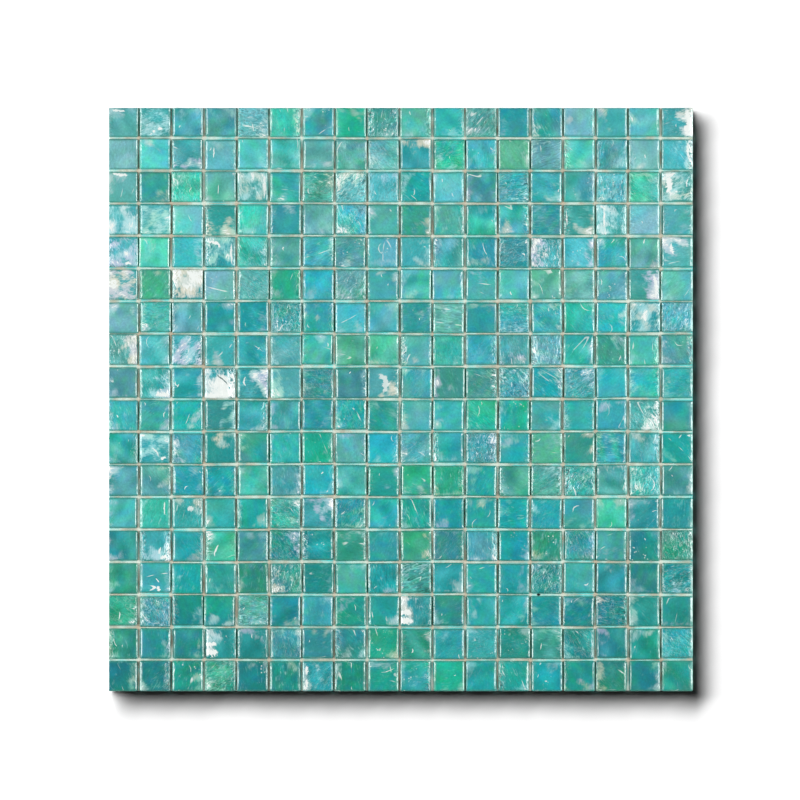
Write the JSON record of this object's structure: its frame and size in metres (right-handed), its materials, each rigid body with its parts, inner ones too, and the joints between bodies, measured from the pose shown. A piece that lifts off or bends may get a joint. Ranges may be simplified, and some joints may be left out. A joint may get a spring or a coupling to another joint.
{
  "type": "mosaic tile sheet",
  "caption": "Square sheet of small square iridescent glass tiles in turquoise and green, set in rows with cream joints on a net backing.",
  "frame": {"origin": "middle of the sheet on the underside of its net", "axes": "+Z out of the tiles' faces, +X along the rows, +Y across the rows"},
  "size_m": [0.2944, 0.294, 0.0046],
  "materials": {
    "tile_glass": "glossy turquoise and green glass with milky pearl patches and an iridescent skin",
    "joint_fill": "matt cream, fine grained",
    "net_yarn": "white coated glass-fibre yarn"
  },
  "bodies": {
    "root": {"tile_row_01": "tile_glass", "tile_row_02": "tile_glass", "tile_row_03": "tile_glass", "tile_row_04": "tile_glass", "tile_row_05": "tile_glass", "tile_row_06": "tile_glass", "tile_row_07": "tile_glass", "tile_row_08": "tile_glass", "tile_row_09": "tile_glass", "tile_row_10": "tile_glass", "tile_row_11": "tile_glass", "tile_row_12": "tile_glass", "tile_row_13": "tile_glass", "tile_row_14": "tile_glass", "tile_row_15": "tile_glass", "tile_row_16": "tile_glass", "tile_row_17": "tile_glass", "tile_row_18": "tile_glass", "joint_fill": "joint_fill", "net_warp": "net_yarn", "net_weft": "net_yarn"}
  },
  "joints": []
}
